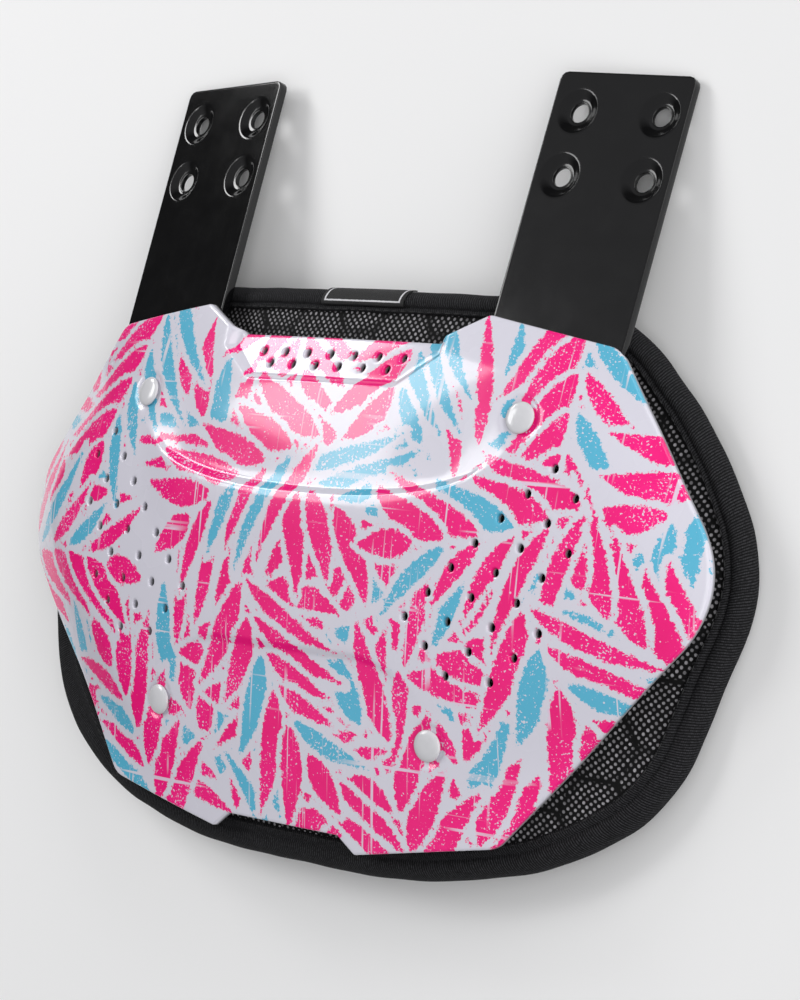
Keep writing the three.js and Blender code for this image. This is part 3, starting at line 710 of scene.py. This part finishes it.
# knitted cover, sizes in millimetres
cover = {
    "mesh": 1.8, "turn": 0.83, "uneven": 0.1, "drift": 14, "driftBy": (2, -1.6), "dot": (0.28, 0.12),
    # seam: how far from the cell edges the dots fade out, partly the pressed knit of the seams and partly painted
    # shade in the channels
    "seam": (1.0, 0.9), "knit": 0.45, "thread": screen(9, 9, 10), "hole": screen(170, 168, 172),
}
padOutline = rounded(bothHalves(pad["corners"]), pad["rimStep"])


def padMiddle(x, y):
    bend = np.where(y > 0, pad["bendTop"], pad["bendBottom"])
    return pad["z"] - pad["bendX"] * x ** 2 - bend * np.maximum(0, np.abs(y) - pad["levelY"]) ** 2


def padFront(x, y):
    out = np.minimum(1, np.hypot(x / pad["crownHalfX"], (y - pad["middleY"]) / pad["crownHalfY"]))
    return padMiddle(x, y) + pad["faceLift"] + pad["crown"] * (1 - out ** 2) ** 2


for name, (x, y) in rivet["spots"].items():
    if name == "top":                         # its collar is behind the blade
        axes, place = strapFrame(), rivetFrame(x, y)
        behind = axes @ Vector((0, 0, -strap["thickness"]))
        out = axes.col[2].to_3d()
        neck = (place.translation - behind).dot(out) / place.col[2].to_3d().dot(out) + rivet["bladeGap"]
        profile = rivetProfile(neck, neck + rivet["collarHeight"])
    else:                                     # its collar fills the room above the pad
        room = float(shellFace(x, y) - padFront(x, y))
        profile = rivetProfile(shell["thickness"] + rivet["shellGap"], room - rivet["padGap"])
    for side, flip in (("left", -1), ("right", 1)):
        bm = turnedRivet(profile)
        bmesh.ops.transform(bm, matrix=rivetFrame(flip * x, y), verts=bm.verts)
        newPiece(bm, "stud_" + name + "_" + side, rivetWhite, "rivet", "rivet_" + name + "_" + side)


def rimDepth(x, y):                           # how far in from the pad's outline
    tree = treeOf(padOutline)
    return np.array([tree.find((px, py, 0))[2] for px, py in zip(x, y)])


def cellCentres():
    column = pad["cell"] * math.sqrt(3) / 2
    return np.array([complex(i * column, (k + i % 2 / 2) * pad["cell"]) for i in range(-10, 11) for k in range(-6, 6)])


def seamDepth(x, y):                          # how far in from the edges of the hexagonal cells
    centres = cellCentres()
    away = np.abs((x + 1j * y)[:, None] - centres[None, :])
    own = np.argmin(away, axis=1)
    apart = np.abs(centres[own][:, None] - centres[None, :])
    nearest = np.min(away, axis=1)[:, None]
    gap = np.where(apart > 0, (away ** 2 - nearest ** 2) / np.maximum(2 * apart, 1e-6), 99)
    return np.min(gap, axis=1)


def padSheet():
    outline = grown(padOutline, -pad["inset"])[::2]
    bm = flatSheet(outline, [], [], pad["step"])
    rollEdges(bm, pad["edge"], pad["wall"])
    flat = np.array([v.co for v in bm.verts])
    inside, seam = rimDepth(*flat[:, :2].T), seamDepth(*flat[:, :2].T)

    def stuffed(x, y, height):
        middle, rise = padMiddle(x, y), smooth(inside, *pad["tucked"])
        front = middle + pad["edgeLift"] + rise * (padFront(x, y) - middle - pad["edgeLift"] - pad["dip"])
        back = np.maximum(middle - pad["edgeLift"] - rise * pad["backLift"], groundZ + pad["floorGap"])
        return x, y, back + (front - back) * (1 + height / pad["wall"])

    shaped(bm, stuffed)
    keep(bm, "seam", seam)
    keep(bm, "sewn", np.where((seam < pad["seam"]) | (inside < pad["heldRim"]), 1.0, 0.0))
    return bm


def puff(piece):                              # air pressure lifts the cover between its seams
    mesh = piece.data
    sewn = piece.vertex_groups.new(name="sewn")
    sewn.add([i for i, held in enumerate(mesh.attributes["sewn"].data) if held.value > 0.5], 1, "REPLACE")
    cloth = piece.modifiers.new("puff", "CLOTH")
    cloth.settings.quality = pad["quality"]
    cloth.settings.mass = pad["mass"]
    cloth.settings.tension_stiffness = cloth.settings.compression_stiffness = pad["stiffness"]
    cloth.settings.use_pressure = True
    cloth.settings.uniform_pressure_force = pad["pressure"]
    cloth.settings.vertex_group_mass = "sewn"
    cloth.settings.effector_weights.gravity = 0
    for step in range(1, pad["frames"] + 1):
        scene.frame_set(step)
    puffed = piece.evaluated_get(bpy.context.evaluated_depsgraph_get()).data
    moves = [after.co - before.co for after, before in zip(puffed.vertices, mesh.vertices)]
    piece.modifiers.remove(cloth)
    most = pad["mostPuff"] / 1000
    for v, move in zip(mesh.vertices, moves):
        v.co += move * min(1, most / max(move.length, 1e-9))
    piece.vertex_groups.clear()
    scene.frame_set(1)
    print("puffed by up to", round(1000 * max(m.length for m in moves), 2), "mm")


def spacerMesh(flow):
    spot = flow.node("TexCoord", {}, {}, "Object")
    drift = spot.noise(cover["drift"], 1)
    shift = flow.node("CombineXYZ", {}, {axis: drift * (by / 1000) for axis, by in enumerate(cover["driftBy"])})
    lattice = flow.node("VectorMath", {"operation": "ADD"}, {0: spot.place((0, 0, cover["turn"])), 1: shift})
    grid = {"Vector": lattice, "Scale": 1000 / cover["mesh"], "Randomness": cover["uneven"]}
    away = flow.node("TexVoronoi", {"voronoi_dimensions": "2D"}, grid, "Distance")
    each = flow.node("TexVoronoi", {"voronoi_dimensions": "2D"}, grid, "Color")
    # the light dots fade out along the sewn channels: partly the seams' pressed knit, partly painted shade in the
    # channels
    onCell = spot.kept("seam").above(*cover["seam"])
    hole = (1 - away.above(*cover["dot"])) * onCell
    knit = spot.noise(cover["knit"], 2, 0.6)
    light = hole * (each * 0.8 + 0.3) * (knit * 0.6 + 0.6)
    colour = light.tint(cover["thread"], cover["hole"])
    height = knit * 0.25 - hole
    return {"Base Color": colour, "Roughness": hole * -0.25 + 0.9, "Normal": height.bump(0.5, 0.3),
            "Specular IOR Level": 0.25}


foam = newPiece(padSheet(), "meshPad", finish("spacerMesh", spacerMesh), "mesh", "pad_body")
puff(foam)


# binding: ribbed tape folded round the rim, with a seam groove

binding = {
    # in from the rim and over the pad's middle, from the front flange round the roll to the back flange
    "front": [(11.4, 1.9), (11.3, 3.0), (10.8, 3.7), (9.9, 4.0), (8.8, 4.0), (7.9, 3.75), (7.3, 3.2), (6.9, 3.2),
              (6.4, 3.7), (5.7, 4.15)],
    "rollAt": 4.6, "roll": 4.5, "rollFrom": (78, -90), "rollSteps": 13,
    "back": [(6, -4.6), (7.2, -4.2), (8.2, -4.3), (9.6, -4.5), (10.6, -4.2), (11.1, -3.4), (11.2, -2.3)],
    "steps": 420, "wall": 0.9, "ripple": 0.07, "waves": (0.31, 0.173), "rib": 0.9, "twill": 0.3, "thread": 0.55,
    "waver": (5, 0.8), "fuzz": 0.7,
    "upperShare": 0.46, "lowerShare": 0.82, "shareFrom": (-35, 45),     # the flanges narrow towards the top
    "farShare": 1.6, "farFrom": (105, 128),                             # and are wide at the far side
    # dark is the tape's own black; light is a painted highlight on the rib crests
    "dark": screen(6, 6, 7), "light": screen(66, 66, 69),
}


def rimLoop(count):                           # even spots round the rim from the top middle, and the way inward
    loop = padOutline[len(padOutline) // 2:] + padOutline[:len(padOutline) // 2]
    start = min(range(len(loop)), key=lambda i: abs(loop[i] - 1j * pad["corners"][0][1]))
    loop = loop[start:] + loop[:start]
    loop[0] = 1j * pad["corners"][0][1]
    loop.append(loop[0])
    run = np.concatenate([[0], np.cumsum(np.abs(np.diff(loop)))])
    at = np.linspace(0, run[-1], count + 1)
    spots = np.interp(at, run, np.real(loop)) + 1j * np.interp(at, run, np.imag(loop))
    along = np.roll(spots[:-1], -1) - np.roll(spots[:-1], 1)
    along = np.append(along, along[0])
    return at, spots, 1j * along / np.abs(along)


def rollArc(radius, start, end, steps):
    angles = np.radians(np.linspace(start, end, steps))
    return [(binding["rollAt"] - radius * math.cos(a), radius * math.sin(a)) for a in angles]


def rollSection():                            # from the back flange to the front one
    roll = rollArc(binding["roll"], *binding["rollFrom"], binding["rollSteps"])
    return np.array(binding["front"] + roll + binding["back"])[::-1]


def onRim(spot, inward, s, h):                # a place on the tape from its spot on the rim
    high = smooth(np.imag(spot), *binding["shareFrom"])
    share = binding["lowerShare"] + (binding["upperShare"] - binding["lowerShare"]) * high
    share = share + (binding["farShare"] - share) * smooth(-np.real(spot), *binding["farFrom"])
    flat = spot + inward * np.where(s > binding["rollAt"], binding["rollAt"] + (s - binding["rollAt"]) * share, s)
    return flat.real, flat.imag, np.maximum(padMiddle(flat.real, flat.imag) + h, groundZ)


def lengths(section):                         # length along a section up to each of its points
    return np.concatenate([[0], np.cumsum(np.hypot(*np.diff(section, axis=0).T))])


def tapeSheet(section, at, spots, inward):
    bm = bmesh.new()
    columns, rows = len(spots) - 1, len(section) - 1
    bmesh.ops.create_grid(bm, x_segments=columns, y_segments=rows, size=0.5, calc_uvs=False)
    tape = bm.loops.layers.uv.new("tape")
    across = lengths(section)
    numbers = {v: (round((v.co.x + 0.5) * columns), round((v.co.y + 0.5) * rows)) for v in bm.verts}
    for face in bm.faces:
        for loop in face.loops:
            column, row = numbers[loop.vert]
            loop[tape].uv = (at[column], across[row])

    def folded(x, y, height):
        column, row = np.rint((x + 0.5) * columns).astype(int), np.rint((y + 0.5) * rows).astype(int)
        return onRim(spots[column], inward[column], *section[row].T)

    shaped(bm, folded)
    bmesh.ops.remove_doubles(bm, verts=bm.verts, dist=1e-3)
    return bm


def ribbedTape(flow):
    tape = flow.node("UVMap", {"uv_map": "tape"})
    parts = {axis: flow.node("SeparateXYZ", {}, {0: tape}, axis) for axis in ("X", "Y")}
    spot = flow.node("TexCoord", {}, {}, "Object")
    size, share = binding["waver"]
    waver = spot.noise(size, 2) * share
    ribs = (parts["X"] + parts["Y"] * binding["twill"]) / binding["rib"]
    rib = flow.calc("SINE", (ribs + waver) * 2 * math.pi) * 0.5 + 0.5
    thread = flow.calc("SINE", parts["Y"] * (2 * math.pi / binding["thread"])) * 0.5 + 0.5
    fuzz = spot.noise(binding["fuzz"], 3, 0.7)
    # the rib crests and threads are painted lighter, a painted highlight, broken up at random by the fuzz
    light = rib * (thread * 0.35 + 0.65) * fuzz.above(0.46, 0.4)
    colour = light.tint(binding["dark"], binding["light"])
    height = rib + thread * 0.3 + fuzz * 0.5
    return {"Base Color": colour, "Roughness": fuzz * 0.2 + 0.72, "Normal": height.bump(0.6, 0.25),
            "Specular IOR Level": 0.15}


tapeBlack = finish("ribbedTape", ribbedTape)
at, spots, inward = rimLoop(binding["steps"])
long, short = binding["waves"]
ripple = binding["ripple"] * (np.sin(at * long) + np.sin(at * short + 1))
ripple[-1] = ripple[0]
bm = tapeSheet(rollSection(), at, spots - inward * ripple, inward)
tapeWidth = sum(face.calc_area() for face in bm.faces) / at[-1]
tape = newPiece(bm, "rimTape", tapeBlack, "binding", "pad_binding")
wall = tape.modifiers.new("wall", "SOLIDIFY")
wall.thickness, wall.offset = binding["wall"] / 1000, -1
tapeWidth / 1000
print("tape is", round(tapeWidth, 1), "by", round(at[-1], 1), "mm")


# stitches along the tape's inner edges

stitch = {
    "pitch": 3.7, "length": 2.7, "radius": 0.28, "rows": [(10.1, 3.95), (9.9, -4.4)], "floorGap": 0.5,
    "twist": 0.5, "blacks": (screen(12, 12, 13), screen(26, 26, 28)),
}


def threads(flow):
    spot = flow.node("TexCoord", {}, {}, "Object")
    twist = spot.noise(stitch["twist"], 2)
    return {"Base Color": twist.tint(*stitch["blacks"]), "Roughness": twist * 0.2 + 0.6,
            "Normal": twist.bump(0.4, 0.1)}


def stitching():
    bm = bmesh.new()
    _, spots, inward = rimLoop(round(at[-1] / stitch["pitch"]))
    for s, h in stitch["rows"]:
        for spot, way in zip(spots[:-1], inward):
            place = Vector([float(c) for c in onRim(spot, way, s, h)])
            if place.z < groundZ + stitch["floorGap"]:      # pressed flat on the ground
                continue
            turn = Matrix.Rotation(cmath.phase(way) + math.pi / 2, 4, "Z")
            shape = Matrix.Diagonal((stitch["length"] / 2, stitch["radius"], stitch["radius"], 1))
            bmesh.ops.create_uvsphere(bm, u_segments=6, v_segments=5, radius=1,
                                      matrix=Matrix.Translation(place) @ turn @ shape)
    return bm


newPiece(stitching(), "tapeStitches", finish("sewingThread", threads), "binding")


# label folded over the top of the rim

label = {
    "width": 37, "columns": 26, "wall": 0.4, "air": 0.2,
    "angles": (-5, 84), "arcSteps": 9, "tail": [(5.2, 5.0), (6.4, 4.75), (7.4, 4.25)],
    "endBorder": 2.9, "sideBorder": (1.4, 2.1), "soft": 0.12, "fray": (0.8, 0.3), "thread": 0.5,
    "base": screen(15, 15, 16), "line": screen(205, 205, 208),
}


def labelSection():
    radius = binding["roll"] + label["air"] + label["wall"]
    return np.array(rollArc(radius, *label["angles"], label["arcSteps"]) + label["tail"])


def wovenLabel(flow):
    tape = flow.node("UVMap", {"uv_map": "tape"})
    parts = {axis: flow.node("SeparateXYZ", {}, {0: tape}, axis) for axis in ("X", "Y")}
    spot = flow.node("TexCoord", {}, {}, "Object")
    fromSide = label["width"] / 2 - flow.calc("ABSOLUTE", parts["X"])
    outer, inner = label["sideBorder"]
    fromEnd = labelLength - parts["Y"] - label["endBorder"] + outer
    size, fray = label["fray"]
    inset = flow.calc("MINIMUM", fromSide, fromEnd) + (spot.noise(size, 1) - 0.5) * fray
    border = inset.above(outer, label["soft"]) * (1 - inset.above(inner, label["soft"]))
    pick = 2 * math.pi / label["thread"]
    weave = flow.calc("SINE", parts["X"] * pick) * flow.calc("SINE", parts["Y"] * pick)
    colour = border.tint(label["base"], label["line"])
    return {"Base Color": colour, "Roughness": weave * 0.08 + 0.68, "Normal": (weave + border).bump(0.4, 0.12)}


section = labelSection()
labelLength = lengths(section)[-1]
across = np.linspace(label["width"] / 2, -label["width"] / 2, label["columns"] + 1)
top = across + 1j * pad["corners"][0][1]
bm = tapeSheet(section, across, top, np.full(len(top), -1j))
patch = newPiece(bm, "wovenLabel", finish("wovenLabel", wovenLabel), "label", "pad_label")
wall = patch.modifiers.new("wall", "SOLIDIFY")
wall.thickness, wall.offset = label["wall"] / 1000, -1
label["width"] / 1000
print("label is", label["width"], "by", round(labelLength, 1), "mm")


# floor

def paleFloor(flow):
    return {"Base Color": studio["floor"], "Roughness": 1, "Specular IOR Level": 0}


bm = bmesh.new()
bmesh.ops.create_grid(bm, x_segments=4, y_segments=4, size=studio["floorHalf"])
mesh = bpy.data.meshes.new("floor")
bm.to_mesh(mesh)
bm.free()
mesh.materials.append(finish("paleFloor", paleFloor))
floor = bpy.data.objects.new("floor", mesh)
scene.collection.objects.link(floor)
print("floor laid")
